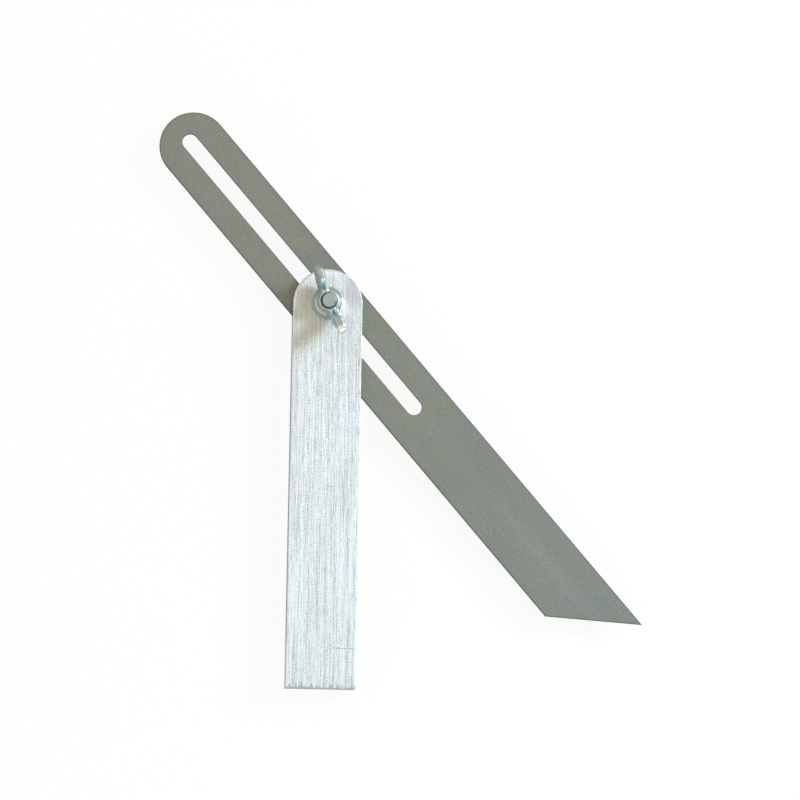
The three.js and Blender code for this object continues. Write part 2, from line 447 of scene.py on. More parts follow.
def shank_levels():
    """The threaded shank. Its thread deepens over the first turn, and its end is chamfered."""
    top = BOLT_HIGH.z
    threaded = top - BOLT_THREAD_START
    count = int(threaded / THREAD_RING_SPACING)

    def shank_at(height):
        grown = min(1.0, (height - BOLT_THREAD_START) / THREAD_PITCH)

        def radius(angle):
            cut = BOLT_CREST_RADIUS - THREAD_DEPTH * grown * (1 - thread_shape(angle, height))
            return min(cut, SHANK_END_RADIUS + (top - height))
        return radius

    heights = [BOLT_THREAD_START + threaded * i / count for i in range(count + 1)]
    levels = [(height, shank_at(height)) for height in heights]
    levels.append((top, SHANK_END_RADIUS - SHANK_END_EDGE))
    return levels


def make_bolt():
    levels = head_levels() + neck_levels() + shank_levels()
    piece = rings("carriage_bolt_m6", levels, BOLT_SHARP_ANGLE)
    settle(piece, Vector((PIVOT.x, PIVOT.y, 0)), BLADE_TURN)
    return piece


# Flat washer. Its upper edges are rounded, as a punch leaves them, and its lower ones only broken.

WASHER_ROUND = 0.45 * MM
WASHER_ROUND_STEPS = 6
WASHER_LOW_EDGE = 0.06 * MM
WASHER_HOLE_ROUND = 0.15 * MM
WASHER_HOLE_ROUND_STEPS = 4
WASHER_HOLE_LOW_EDGE = 0.1 * MM


def make_washer():
    outer = (WASHER_HIGH.x - WASHER_LOW.x) / 2
    low, high = WASHER_LOW.z, WASHER_HIGH.z
    profile = [
        (WASHER_HOLE_RADIUS, low + WASHER_HOLE_LOW_EDGE),
        (WASHER_HOLE_RADIUS + WASHER_HOLE_LOW_EDGE, low),
        (outer - WASHER_LOW_EDGE, low),
        (outer, low + WASHER_LOW_EDGE),
    ]
    for i in range(WASHER_ROUND_STEPS + 1):
        angle = math.pi / 2 * i / WASHER_ROUND_STEPS
        radius = outer - WASHER_ROUND + WASHER_ROUND * math.cos(angle)
        profile.append((radius, high - WASHER_ROUND + WASHER_ROUND * math.sin(angle)))
    for i in range(WASHER_HOLE_ROUND_STEPS + 1):
        angle = math.pi / 2 * i / WASHER_HOLE_ROUND_STEPS
        radius = WASHER_HOLE_RADIUS + WASHER_HOLE_ROUND * (1 - math.sin(angle))
        profile.append((radius, high - WASHER_HOLE_ROUND * (1 - math.cos(angle))))
    bm = bmesh.new()
    centre = Vector((0, 0))
    loops = [loop_at(bm, circle(centre, radius, RING_STEPS), height) for radius, height in profile]
    for here, after in zip(loops, loops[1:] + loops[:1]):
        bridge(bm, here, after)
    piece = link("flat_washer_m6", bm)
    settle(piece, Vector((PIVOT.x, PIVOT.y, 0)))
    return piece


# Wing nut: a hub and two wings that are melted together, as in a casting, and then tapped.

NUT_HEIGHT = NUT_HIGH.z - NUT_LOW.z
NUT_VOXEL = 0.2 * MM
NUT_SMOOTH_FACTOR = 0.5
NUT_SMOOTH_PASSES = 6
NUT_SHARP_ANGLE = 38

# A wing's lengths, outwards from the nut's axis, then its half widths, and then its heights.
WING_TIP_RADIUS = 3.2 * MM
WING_FOOT_START = HUB_BASE_RADIUS - 0.6 * MM
WING_KNOB_START = 9.2 * MM
WING_KNOB_BLEND_BEFORE = 1.2 * MM
WING_KNOB_BLEND = 1.8 * MM
WING_WEB_HALF = 1.35 * MM
WING_KNOB_HALF = 1.75 * MM
WING_FOOT_HALF = 3.0 * MM
WING_THINNING_SHARE = 0.25
WING_THINNING_POWER = 4
WING_FOOT_HEIGHT = 0.5 * MM
WING_SHOULDER_DROP = 0.1 * MM
WING_SAG = 0.35 * MM
WING_SAG_LIMIT = 1 * MM
WING_UNDERSIDE_POWER = 1.7
WING_SQUARENESS_POWER = 0.4
WING_INNER_STEPS = 4
WING_LENGTH_STEPS = 28
WING_TIP_STEPS = 15
WING_TIP_STEP_ANGLE = math.radians(6)
WING_SECTION_STEPS = 32

# The hub flares at its foot and is rounded at its top.
HUB_FOOT_RADIUS = 6.0 * MM
HUB_LEVELS = [
    (0.0, HUB_FOOT_RADIUS - 0.2 * MM),
    (0.15 * MM, HUB_FOOT_RADIUS),
    (0.45 * MM, HUB_FOOT_RADIUS),
    (0.75 * MM, HUB_FOOT_RADIUS - 0.25 * MM),
    (1.25 * MM, HUB_FOOT_RADIUS - 0.65 * MM),
    (2.1 * MM, HUB_FOOT_RADIUS - 1.05 * MM),
    (3.4 * MM, HUB_TOP_RADIUS + 0.25 * MM),
    (HUB_HEIGHT - 0.5 * MM, HUB_TOP_RADIUS),
    (HUB_HEIGHT - 0.15 * MM, HUB_TOP_RADIUS - 0.15 * MM),
    (HUB_HEIGHT, HUB_TOP_RADIUS - 0.5 * MM),
]

# The tap's overrun, its play and depth in the nut, and the countersinks, which lie off centre.
TAP_OVERRUN = 1 * MM
TAP_ENTRY_RADIUS = SHANK_RADIUS + 0.45 * MM
TAP_CREST_RADIUS = SHANK_RADIUS + 0.06 * MM
TAP_DEPTH_SHARE = 0.8
SINK_DEPTH = 0.75 * MM
SINK_OFF_CENTRE_SHARE = 0.4
TAP_TOP_RADIUS = SHANK_RADIUS + SINK_DEPTH + 0.2 * MM


def wing_section(along, foot, tip):
    """A wing's underside and top, and its half widths there, at a distance from the nut's axis."""
    past = max(0.0, along - tip.x)
    rise = smooth_step((along - HUB_TOP_RADIUS) / (WING_KNOB_START - HUB_TOP_RADIUS))
    sag = min(WING_SAG * max(0.0, (tip.x - along) / (tip.x - WING_KNOB_START)), WING_SAG_LIMIT)
    shoulder = HUB_HEIGHT - WING_SHOULDER_DROP + (NUT_HEIGHT - HUB_HEIGHT - sag) * rise
    high = min(shoulder, tip.y + math.sqrt(WING_TIP_RADIUS ** 2 - past ** 2))
    out = max(0.0, (along - foot.x) / (WING_SPAN / 2 - foot.x))
    low = foot.y + (tip.y - foot.y) * out ** WING_UNDERSIDE_POWER
    knob = smooth_step((along - WING_KNOB_START + WING_KNOB_BLEND_BEFORE) / WING_KNOB_BLEND)
    thinning = 1 - WING_THINNING_SHARE * (past / WING_TIP_RADIUS) ** WING_THINNING_POWER
    top_half = (WING_WEB_HALF + (WING_KNOB_HALF - WING_WEB_HALF) * knob) * thinning
    foot_half = top_half + (WING_FOOT_HALF - top_half) * (1 - out)
    return low, high, foot_half, top_half


def squared(value):
    """A cosine or sine changed so that a round section becomes nearly a rectangle."""
    return math.copysign(abs(value) ** WING_SQUARENESS_POWER, value)


def make_wing():
    """One wing along +X: a web that rises steeply from the hub, thick at its foot, and a knob."""
    tip = Vector((WING_SPAN / 2 - WING_TIP_RADIUS, NUT_HEIGHT - WING_TIP_RADIUS))
    foot = Vector((WING_FOOT_START, WING_FOOT_HEIGHT))
    places = [foot.x * i / WING_INNER_STEPS for i in range(WING_INNER_STEPS)]
    places += [foot.x + (tip.x - foot.x) * i / WING_LENGTH_STEPS for i in range(WING_LENGTH_STEPS)]
    places += [tip.x + WING_TIP_RADIUS * math.sin(WING_TIP_STEP_ANGLE * i) for i in range(WING_TIP_STEPS)]
    bm = bmesh.new()
    loops = []
    for along in places:
        low, high, foot_half, top_half = wing_section(along, foot, tip)
        loop = []
        for i in range(WING_SECTION_STEPS):
            angle = 2 * math.pi * i / WING_SECTION_STEPS
            across, up = squared(math.cos(angle)), squared(math.sin(angle))
            half = foot_half + (top_half - foot_half) * (up + 1) / 2
            loop.append(bm.verts.new((along, across * half, (low + high) / 2 + up * (high - low) / 2)))
        loops.append(loop)
    stack(bm, loops)
    return link("wing", bm)


def make_tap():
    """The body that cuts the nut's thread and its countersinks."""

    def tap_at(height):
        def radius(angle):
            shape = thread_shape(angle, height + NUT_LOW.z)
            cut = TAP_CREST_RADIUS - THREAD_DEPTH * TAP_DEPTH_SHARE * (1 - shape)
            off_centre = 1 + SINK_OFF_CENTRE_SHARE * math.cos(angle - math.pi / 2)
            countersink = SHANK_RADIUS + SINK_DEPTH * off_centre - min(height, HUB_HEIGHT - height)
            return max(cut, countersink)
        return radius

    count = int(HUB_HEIGHT / THREAD_RING_SPACING)
    heights = [HUB_HEIGHT * i / count for i in range(count + 1)]
    levels = [(-TAP_OVERRUN, TAP_ENTRY_RADIUS), (0.0, TAP_ENTRY_RADIUS)]
    levels += [(height, tap_at(height)) for height in heights]
    levels.append((NUT_HEIGHT + TAP_OVERRUN, TAP_TOP_RADIUS))
    return rings("tap", levels)


def make_wing_nut():
    wings = [make_wing(), make_wing()]
    wings[1].data.transform(Matrix.Rotation(math.pi, 4, "Z"))
    piece = rings("wing_nut_m6", HUB_LEVELS)
    for wing in wings:
        combine(piece, "UNION", wing)
    remesh = piece.modifiers.new("remesh", "REMESH")
    remesh.mode = "VOXEL"
    remesh.voxel_size = NUT_VOXEL
    smooth = piece.modifiers.new("smooth", "SMOOTH")
    smooth.factor = NUT_SMOOTH_FACTOR
    smooth.iterations = NUT_SMOOTH_PASSES
    apply_modifiers(piece)
    combine(piece, "DIFFERENCE", make_tap())
    shade(piece.data, NUT_SHARP_ANGLE)
    settle(piece, Vector((PIVOT.x, PIVOT.y, NUT_LOW.z)), WING_TURN)
    return piece


# Materials. A tint multiplies a colour. A band is two places, where a mark is 0 and where it is 1.

# Sockets of a Mix node by number, because its modes give their sockets the same names.
MIX_FACTOR = 0
MIX_NUMBER_INPUTS, MIX_NUMBER_OUTPUT = (2, 3), 0
MIX_COLOUR_INPUTS, MIX_COLOUR_OUTPUT = (6, 7), 2


class Surface:
    """A metal surface whose colour, roughness and bump come from noise in the piece's own frame.

    The frame's origin is at place and it is turned about Z by turn. x, y and z are its coordinates
    in metres, and base is the colour so far.
    """

    def __init__(self, name, roughness, place=(0, 0, 0), turn=0.0):
        self.material = bpy.data.materials.new(name)
        self.material.use_nodes = True
        self.nodes = self.material.node_tree.nodes
        self.links = self.material.node_tree.links
        self.shader = self.nodes["Principled BSDF"]
        self.shader.inputs["Metallic"].default_value = 1.0
        self.shader.inputs["Roughness"].default_value = roughness
        frame_of_piece = self.nodes.new("ShaderNodeMapping")
        frame_of_piece.vector_type = "TEXTURE"
        frame_of_piece.inputs["Location"].default_value = place
        frame_of_piece.inputs["Rotation"].default_value = (0, 0, turn)
        on_object = self.nodes.new("ShaderNodeTexCoord").outputs["Object"]
        self.links.new(on_object, frame_of_piece.inputs["Vector"])
        self.coordinates = frame_of_piece.outputs["Vector"]
        axes = self.nodes.new("ShaderNodeSeparateXYZ")
        self.links.new(self.coordinates, axes.inputs["Vector"])
        self.x, self.y, self.z = axes.outputs["X"], axes.outputs["Y"], axes.outputs["Z"]
        self.base = (1.0, 1.0, 1.0)

    def noise(self, size, detail=3.0, roughness=0.6, offset=(0, 0, 0)):
        """Noise whose swells are size metres along X, Y and Z."""
        mapping = self.nodes.new("ShaderNodeMapping")
        mapping.inputs["Scale"].default_value = [1 / s for s in size]
        mapping.inputs["Location"].default_value = offset
        self.links.new(self.coordinates, mapping.inputs["Vector"])
        texture = self.nodes.new("ShaderNodeTexNoise")
        texture.inputs["Scale"].default_value = 1.0
        texture.inputs["Detail"].default_value = detail
        texture.inputs["Roughness"].default_value = roughness
        self.links.new(mapping.outputs["Vector"], texture.inputs["Vector"])
        return texture.outputs["Fac"]

    def ramp(self, factor, stops):
        """A colour ramp: stops are (place, (r, g, b)) or (place, value)."""
        node = self.nodes.new("ShaderNodeValToRGB")
        ramp = node.color_ramp
        while len(ramp.elements) < len(stops):
            ramp.elements.new(1.0)
        for element, (place, colour) in zip(ramp.elements, stops):
            rgb = colour if isinstance(colour, tuple) else (colour,) * 3
            element.position = place
            element.color = (*rgb, 1.0)
        self.links.new(factor, node.inputs["Fac"])
        return node.outputs["Color"]

    def connect(self, socket, value):
        """Gives an input a number, a colour or another node's output."""
        if isinstance(value, (int, float)):
            socket.default_value = value
        elif isinstance(value, tuple):
            socket.default_value = (*value, 1.0)
        else:
            self.links.new(value, socket)

    def math(self, operation, *values):
        node = self.nodes.new("ShaderNodeMath")
        node.operation = operation
        for socket, value in zip(node.inputs, values):
            self.connect(socket, value)
        return node.outputs["Value"]

    def product(self, first, *others):
        for other in others:
            first = self.math("MULTIPLY", first, other)
        return first

    def off(self, value, middle=0.0):
        """How far a value is from a middle, to either side."""
        return self.math("ABSOLUTE", self.math("SUBTRACT", value, middle))

    def uneven(self, noise_value, size):
        """A noise as a length around zero, to make an edge or a line wander."""
        return self.product(self.math("SUBTRACT", noise_value, 0.5), size)

    def length(self, across, along):
        """The length of a vector that is given by its two parts."""
        return self.math("SQRT", self.math("ADD", self.product(across, across), self.product(along, along)))

    def mix(self, kind, share, base, colour):
        """Mixes two colours. kind is a blend type such as MIX or MULTIPLY."""
        node = self.nodes.new("ShaderNodeMix")
        node.data_type = "RGBA"
        node.blend_type = kind
        for index, value in zip((MIX_FACTOR, *MIX_COLOUR_INPUTS), (share, base, colour)):
            self.connect(node.inputs[index], value)
        return node.outputs[MIX_COLOUR_OUTPUT]

    def tint(self, tint, share=1.0):
        """Multiplies the colour so far by a tint, as far as share says."""
        self.base = self.mix("MULTIPLY", share, self.base, tint)

    def cover(self, colour, share):
        """Lays a colour over the one so far, as far as share says."""
        self.base = self.mix("MIX", share, self.base, colour)

    def swing(self, pattern, middle, size):
        """A roughness on either side of a middle, lower where a noise is higher."""
        return self.ramp(pattern, [(0.3, middle + size), (0.7, middle - size)])

    def band(self, value, ends):
        """0 up to the first of two ends, 1 past the second, smooth between. Either may be the larger."""
        rising = ends[0] < ends[1]
        node = self.nodes.new("ShaderNodeMapRange")
        node.interpolation_type = "SMOOTHSTEP"
        self.links.new(value, node.inputs["Value"])
        node.inputs["From Min"].default_value = min(ends)
        node.inputs["From Max"].default_value = max(ends)
        node.inputs["To Min"].default_value = 0.0 if rising else 1.0
        node.inputs["To Max"].default_value = 1.0 if rising else 0.0
        return node.outputs["Result"]

    def disc(self, centre, ends):
        """A band over the distance from a centre in the XY plane."""
        across = self.math("SUBTRACT", self.x, centre.x)
        along = self.math("SUBTRACT", self.y, centre.y)
        return self.band(self.length(across, along), ends)

    def colour(self, socket):
        self.links.new(socket, self.shader.inputs["Base Color"])

    def rough(self, socket):
        self.links.new(socket, self.shader.inputs["Roughness"])

    def brush_along_y(self, anisotropy):
        """Spreads reflections across Y, as fine lines along Y do."""
        self.shader.inputs["Anisotropic"].default_value = anisotropy
        across = self.nodes.new("ShaderNodeVectorTransform")
        across.vector_type = "VECTOR"
        across.convert_from = "OBJECT"
        across.convert_to = "WORLD"
        across.inputs["Vector"].default_value = (1, 0, 0)
        self.links.new(across.outputs["Vector"], self.shader.inputs["Tangent"])

    def bump(self, height, depth, strength):
        node = self.nodes.new("ShaderNodeBump")
        node.inputs["Distance"].default_value = depth
        node.inputs["Strength"].default_value = strength
        self.links.new(height, node.inputs["Height"])
        self.links.new(node.outputs["Normal"], self.shader.inputs["Normal"])


# Brushed aluminium, on the stock's front and back

BRUSHED_ROUGHNESS = 0.78
BRUSHED_ANISOTROPY = 0.7
FINE_STOPS = [(0.30, (0.69, 0.71, 0.73)), (0.46, (0.89, 0.91, 0.93)),
              (0.56, (0.97, 0.98, 0.99)), (0.70, (1.0, 1.0, 1.0))]
HAIR_STOPS = [(0.30, 0.75), (0.50, 0.985), (0.68, 1.145)]
GRAIN_STOPS = [(0.30, 0.67), (0.70, 1.245)]
BROAD_STOPS = [(0.32, 0.975), (0.62, 1.01)]
HUE_STOPS = [(0.32, (0.975, 1.0, 1.012)), (0.50, (1.0, 1.0, 1.0)), (0.68, (1.015, 0.992, 1.0))]
# Painted light: the stock is tinted paler and bluer towards the butt.
NEAR_BUTT_BAND = (PIVOT.y - 60 * MM, PIVOT.y - 150 * MM)
NEAR_BUTT_PAINTED_LIGHT = (1.01, 1.04, 1.065)
COOL_TINT = (1.0, 1.006, 1.035)
FRONT_BAND = (0, FRONT / 2)

# Marks on the round end: wear, painted shade over it, a warm stain with painted warm light in the nut's
# shadow, and a painted highlight and painted shade on its rim.
# Painted shade: the round end is darkened.
ROUND_END_SHADE_BAND = (PIVOT.y - 52 * MM, PIVOT.y - 16 * MM)
ROUND_END_PAINTED_SHADE = (0.925, 0.91, 0.895)
# A warm stain and painted warm light where the nut's shadow falls. The brush lines there are smoothed as
# well.
NUT_SHADOW_CENTRE = Vector((-9 * MM, PIVOT.y - 6 * MM))
NUT_SHADOW_ACROSS_BAND = (13 * MM, 4 * MM)
NUT_SHADOW_ALONG_BAND = (20 * MM, 4 * MM)
NUT_SHADOW_TINT = (1.03, 1.04, 0.98)
NUT_SHADOW_SMOOTH_SHARE = 0.5
WORN_BAND = (PIVOT.y - 14 * MM, PIVOT.y - 2 * MM)
WORN_SHARE = 0.38
WORN_ALUMINIUM = (0.88, 0.90, 0.93)
INSIDE_RIM_BAND = (14 * MM, 10 * MM)
RIM_TOP_BAND = (PIVOT.y, PIVOT.y + 6 * MM)
RIM_LEFT_BAND = (7 * MM, 1 * MM)
# Painted highlight on the rim at upper left.
RIM_LEFT_HIGHLIGHT = (1.10, 1.11, 1.13)
RIM_RIGHT_BAND = (6.5 * MM, 10 * MM)
BESIDE_NUT_BAND = (PIVOT.y - 6 * MM, PIVOT.y + 3 * MM)
# Painted shade on the face at right beside the nut.
RIM_RIGHT_SHADE = (0.89, 0.875, 0.88)

# Painted light round the washer: a painted highlight at its right and painted contact shadow at its left.
GLARE_CENTRE = Vector((7.2 * MM, PIVOT.y - 2.6 * MM))
GLARE_BAND = (4.6 * MM, 2.2 * MM)
GLARE_HIGHLIGHT = (1.12, 1.09, 1.07)
CONTACT_SHADE_BAND = (7.8 * MM, 6.2 * MM)
CONTACT_SHADE_LEFT_BAND = (-2 * MM, -5 * MM)
CONTACT_SHADE_TINT = (0.80, 0.80, 0.80)

# Marks of the saw, and one short scored line near the butt.
FRAY_REACH = 11 * MM
FRAY_BAND = (BUTT + 1.5 * MM, BUTT + 0.5 * MM)
FRAY_TINT = (0.65, 0.69, 0.70)
FRAY_SHARE = 0.85
SCORE_PLACE = BUTT + 17.3 * MM
SCORE_RAGGED = 1.2 * MM
SCORE_BAND = (0.26 * MM, 0.1 * MM)
SCORE_RIGHT_BAND = (4.6 * MM, 5.8 * MM)
SCORE_BREAKS_BAND = (0.40, 0.52)
SCORE_TINT = (0.36, 0.42, 0.46)
SCORE_SHARE = 0.75


def brushed_aluminium():
    """Long fine brush lines, wear and painted light and shade on the round end and round the washer, a
    frayed sawn edge and a scored line.
    """
    s = Surface("brushed_aluminium", BRUSHED_ROUGHNESS)
    s.brush_along_y(BRUSHED_ANISOTROPY)
    front = s.band(s.z, FRONT_BAND)
    fine = s.noise((0.28 * MM, 6 * MM, 5 * MM), detail=2, roughness=0.6, offset=(2, 8, 1))
    broad = s.noise((1.7 * MM, 60 * MM, 9 * MM), detail=3, roughness=0.55, offset=(3, 5, 1))
    hue = s.noise((0.7 * MM, 16 * MM, 9 * MM), detail=2, offset=(7, 2, 4))
    brush_lines(s, fine, broad, hue)
    round_end_wear_and_light(s, front)
    painted_light_round_washer(s, front)
    butt_marks(s, front, broad, hue)
    s.colour(s.base)
    s.bump(fine, depth=0.006 * MM, strength=0.4)
    return s.material


def brush_lines(s, fine, broad, hue):
    """The bare brushed metal, a little bluer and paler towards the butt as painted light."""
    hair = s.noise((0.26 * MM, 30 * MM, 9 * MM), detail=1, roughness=0.5)
    grain = s.noise((0.28 * MM, 0.7 * MM, 0.5 * MM), detail=2, roughness=0.7, offset=(1, 4, 6))
    s.base = s.ramp(fine, FINE_STOPS)
    for pattern, stops in ((hair, HAIR_STOPS), (grain, GRAIN_STOPS), (broad, BROAD_STOPS), (hue, HUE_STOPS)):
        s.tint(s.ramp(pattern, stops))
    # Painted light: paler and bluer towards the butt, standing in for the bluish key light there.
    s.tint(NEAR_BUTT_PAINTED_LIGHT, s.band(s.y, NEAR_BUTT_BAND))
    s.tint(COOL_TINT)


def round_end_wear_and_light(s, front):
    """The round end is darker as painted shade and worn smooth; a warm stain and painted warm light lie in
    the nut's shadow. Its rim has a painted highlight at left and painted shade at right.
    """
    # A warm stain and a painted warm, lighter tone where the nut's shadow falls. The brush lines there are
    # smoothed as well.
    shadow_across = s.band(s.off(s.x, NUT_SHADOW_CENTRE.x), NUT_SHADOW_ACROSS_BAND)
    shadow_along = s.band(s.off(s.y, NUT_SHADOW_CENTRE.y), NUT_SHADOW_ALONG_BAND)
    stain = s.product(shadow_across, shadow_along, front)
    worn = s.product(s.band(s.y, WORN_BAND), WORN_SHARE)
    worn = s.math("MAXIMUM", s.product(stain, NUT_SHADOW_SMOOTH_SHARE), worn)
    s.cover(WORN_ALUMINIUM, worn)
    # Painted shade: the round end is darkened.
    s.tint(ROUND_END_PAINTED_SHADE, s.band(s.y, ROUND_END_SHADE_BAND))
    # Painted warm light in the nut's shadow, partly a warm stain.
    s.tint(NUT_SHADOW_TINT, stain)

    rim = s.math("SUBTRACT", 1.0, s.disc(PIVOT, INSIDE_RIM_BAND))
    # Painted highlight: the rim is paler at upper left.
    rim_left_highlight = s.product(rim, s.band(s.y, RIM_TOP_BAND), s.band(s.x, RIM_LEFT_BAND), front)
    s.tint(RIM_LEFT_HIGHLIGHT, rim_left_highlight)
    # Painted shade: the face is darker at right beside the nut.
    rim_right_shade = s.product(s.band(s.x, RIM_RIGHT_BAND), s.band(s.y, BESIDE_NUT_BAND), front)
    s.tint(RIM_RIGHT_SHADE, rim_right_shade)


def painted_light_round_washer(s, front):
    """A painted highlight lies on the face at the washer's right, where the key lamp's glare falls, and
    painted contact shadow at its left.
    """
    # Painted highlight at the washer's right.
    s.tint(GLARE_HIGHLIGHT, s.product(s.disc(GLARE_CENTRE, GLARE_BAND), front))
    # Painted contact shadow at the washer's left.
    contact_shade = s.product(s.disc(PIVOT, CONTACT_SHADE_BAND), s.band(s.x, CONTACT_SHADE_LEFT_BAND), front)
    s.tint(CONTACT_SHADE_TINT, contact_shade)


def butt_marks(s, front, broad, hue):
    """The saw has frayed the brush lines at the butt, and a broken score crosses the right half."""
    fray = s.noise((1.1 * MM, 60 * MM, 60 * MM), detail=3, roughness=0.7, offset=(5, 0, 0))
    frayed = s.band(s.math("ADD", s.uneven(fray, -FRAY_REACH), s.y), FRAY_BAND)
    s.tint(FRAY_TINT, s.product(frayed, FRAY_SHARE))

    height = s.math("ADD", s.y, s.uneven(broad, SCORE_RAGGED))
    score = s.band(s.off(height, SCORE_PLACE), SCORE_BAND)
    breaks = s.band(hue, SCORE_BREAKS_BAND)
    score = s.product(score, s.band(s.x, SCORE_RIGHT_BAND), breaks, front, SCORE_SHARE)
    s.tint(SCORE_TINT, score)


# Plain aluminium, on the stock's other faces

PLAIN_ROUGHNESS_SWING = 0.08
PLAIN_BUMP_STRENGTH = 0.6
RIGHT_SIDE_BAND = (2 * MM, 8 * MM)


def plain_aluminium(name, dark, pale, roughness, size, depth, right_painted_shade=None):
    """Two tones of bare aluminium in a grain. A tint given for the right half darkens it as painted shade.
    """
    s = Surface(name, roughness)
    grain = s.noise(size, detail=4)
    s.base = s.ramp(grain, [(0.32, dark), (0.68, pale)])
    if right_painted_shade:
        # Painted shade on the right half.
        s.tint(right_painted_shade, s.band(s.x, RIGHT_SIDE_BAND))
    s.colour(s.base)
    s.rough(s.swing(grain, roughness, PLAIN_ROUGHNESS_SWING))
    s.bump(grain, depth, PLAIN_BUMP_STRENGTH)
    return s.material


def stock_materials():
    """In the order of the stock's material numbers: face, wall, filed, sawn and slit."""
    return [
        brushed_aluminium(),
        # The walls are darker than the faces, partly as painted shade.
        plain_aluminium("side_aluminium", dark=(0.27, 0.31, 0.34), pale=(0.44, 0.48, 0.52), roughness=0.42,
                        size=(3 * MM, 0.5 * MM, 4 * MM), depth=0.01 * MM),
        # The filed chamfer's right half is darkened as painted shade, where the key lamp lights it.
        plain_aluminium("filed_aluminium", dark=(0.66, 0.72, 0.80), pale=(1.0, 1.0, 1.0), roughness=0.62,
                        size=(0.5 * MM, 0.6 * MM, 0.6 * MM), depth=0.03 * MM, right_painted_shade=(0.84, 0.82, 0.83)),
        plain_aluminium("sawn_aluminium", dark=(0.20, 0.22, 0.23), pale=(0.42, 0.45, 0.47), roughness=0.5,
                        size=(0.3 * MM, 0.5 * MM, 2.2 * MM), depth=0.06 * MM),
        plain_aluminium("slit_aluminium", dark=(0.30, 0.31, 0.32), pale=(0.5, 0.51, 0.52), roughness=0.48,
                        size=(0.4 * MM, 5 * MM, 1 * MM), depth=0.02 * MM),
    ]


# Blade steel. Its frame has the bolt at the origin and the blade's tip towards -Y.

STEEL_ROUGHNESS = 0.5
STEEL_UPPER = (0.290, 0.301, 0.271)
STEEL_TIP = (0.281, 0.301, 0.288)
NEAR_TIP_BAND = (BOLT_ALONG_BLADE - 120 * MM, BOLT_ALONG_BLADE - BLADE_LENGTH + 40 * MM)
STREAK_BAND = (5 * MM, 0)
# Painted sheen: streaks along the blade.
SHEEN_STREAKS = ((0.3 * MM, (1.03, 1.05, 1.085)), (8 * MM, (0.95, 0.965, 0.965)))
OUTLINE_BAND = (3.5 * MM, 0.5 * MM)
OUTLINE_TINT = (0.975, 0.985, 1.0)
ROLLED_EDGE_BAND = (0.6 * MM, 0.2 * MM)
ROLLED_EDGE_TINT = (0.62, 0.66, 0.74)
SHEARED_STOPS = [(0.3, (0.06, 0.065, 0.055)), (0.7, (0.13, 0.14, 0.125))]


def satin_steel():
    """The blade's faces: greenish grey, finely mottled, bluer towards the tip and the outline."""
    s = Surface("satin_steel", STEEL_ROUGHNESS, PIVOT, BLADE_TURN)
    speck = s.noise((0.75 * MM, 0.95 * MM, 0.9 * MM), detail=3, roughness=0.65)
    grain = s.noise((0.25 * MM, 0.7 * MM, 0.5 * MM), detail=2, roughness=0.6, offset=(4, 1, 2))
    cloud = s.noise((14 * MM, 40 * MM, 20 * MM), detail=2, offset=(1, 6, 3))
    hue = s.noise((7 * MM, 12 * MM, 9 * MM), detail=3, roughness=0.6, offset=(3, 2, 7))
    near_tip = s.band(s.y, NEAR_TIP_BAND)
    s.base = s.mix("MIX", near_tip, STEEL_UPPER, STEEL_TIP)
    s.tint(s.ramp(speck, [(0.28, 0.90), (0.72, 1.10)]))
    s.tint(s.ramp(grain, [(0.30, 0.90), (0.70, 1.10)]))
    s.tint(s.ramp(cloud, [(0.3, 0.975), (0.7, 1.025)]))
    s.tint(s.ramp(hue, [(0.32, (0.98, 1.0, 1.045)), (0.68, (1.02, 1.0, 0.955))]))

    # Painted sheen: a paler streak down the middle of the strip towards the tip, and a darker one beside it.
    for middle, tint in SHEEN_STREAKS:
        s.tint(tint, s.product(s.band(s.off(s.x, middle), STREAK_BAND), near_tip))

    # Bluer along the outline, with a thin dark line where the shears have rolled the edge over.
    inside = inside_blade(s)
    s.tint(OUTLINE_TINT, s.band(inside, OUTLINE_BAND))
    s.tint(ROLLED_EDGE_TINT, s.band(inside, ROLLED_EDGE_BAND))
    s.colour(s.base)
    s.rough(s.ramp(speck, [(0.3, 0.67), (0.7, 0.59)]))
    s.bump(grain, depth=0.004 * MM, strength=0.4)
    return s.material


def inside_blade(s):
    """The distance from the blade's outline, inwards."""
    half = BLADE_WIDTH / 2
    past = s.math("MAXIMUM", s.math("SUBTRACT", s.y, BOLT_ALONG_BLADE - half), 0.0)
    from_side = s.math("SUBTRACT", half, s.length(s.x, past))
    from_tip = s.math("ADD", s.math("SUBTRACT", s.y, BOLT_ALONG_BLADE - BLADE_LENGTH + half), s.x)
    return s.math("MINIMUM", from_side, s.product(from_tip, math.sqrt(0.5)))


def sheared_steel():
    """The blade's narrow edges, darker than its faces."""
    s = Surface("sheared_steel", STEEL_ROUGHNESS, PIVOT, BLADE_TURN)
    grain = s.noise((0.25 * MM, 0.25 * MM, 1.2 * MM), detail=3)
    s.colour(s.ramp(grain, SHEARED_STOPS))
    s.bump(grain, depth=0.01 * MM, strength=0.6)
    return s.material


# Zinc plate, on the bolt, the washer and the nut. Seeds keep their stains from being alike.

ZINC_STAIN_SIZE = 2.6 * MM
ZINC_STAIN_STOPS = [(0.30, (0.84, 0.95, 1.00)), (0.70, (1.10, 1.03, 0.97))]
ZINC_SPECK_SIZE = 0.3 * MM
ZINC_SPECK_STOPS = [(0.3, 0.85), (0.7, 1.10)]
ZINC_ROUGHNESS_SWING = 0.07

# The washer's bright side: a painted highlight where the key lamp's glare falls.
BRIGHT_RIGHT_BAND = (2.6 * MM, 4.6 * MM)
BRIGHT_LOWER_BAND = (3.2 * MM, 1.2 * MM)
BRIGHT_ZINC = (0.92, 0.97, 1.0)

